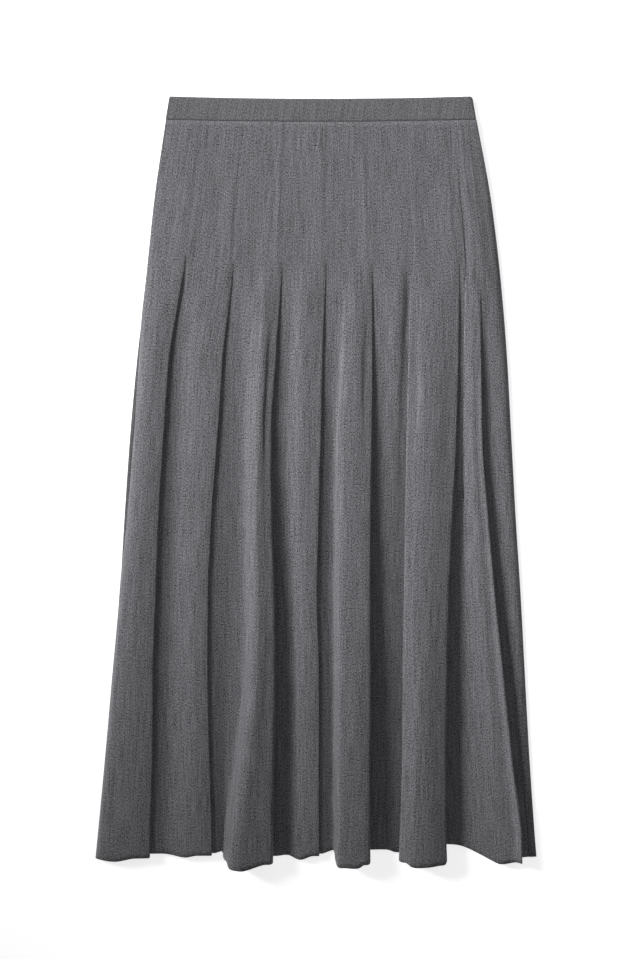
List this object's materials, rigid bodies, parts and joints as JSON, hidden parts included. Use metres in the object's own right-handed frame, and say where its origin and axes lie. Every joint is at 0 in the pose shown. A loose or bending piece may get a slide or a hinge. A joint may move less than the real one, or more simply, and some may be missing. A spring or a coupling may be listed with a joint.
{
  "type": "maxi skirt",
  "caption": "Long plain grey skirt laid flat, with a narrow waistband, stitched tucks that open into soft pleats below the hip, and a concealed side zip.",
  "frame": {"origin": "middle of the outline at the height of the surface the skirt lies on", "axes": "+Y towards the waist, +Z out of the front of the skirt, +X to the right as the picture shows it"},
  "size_m": [0.5288, 0.9209, 0.0282],
  "materials": {
    "front_cloth": "matt grey suiting with fine lengthwise streaks",
    "back_cloth": "matt grey suiting, in the shade",
    "band_cloth": "matt grey suiting, pressed",
    "zip_tape": "matt dark grey tape"
  },
  "bodies": {
    "root": {"front_skirt": "front_cloth", "back_skirt": "back_cloth", "waistband": "band_cloth", "side_zip": "zip_tape"}
  },
  "joints": []
}
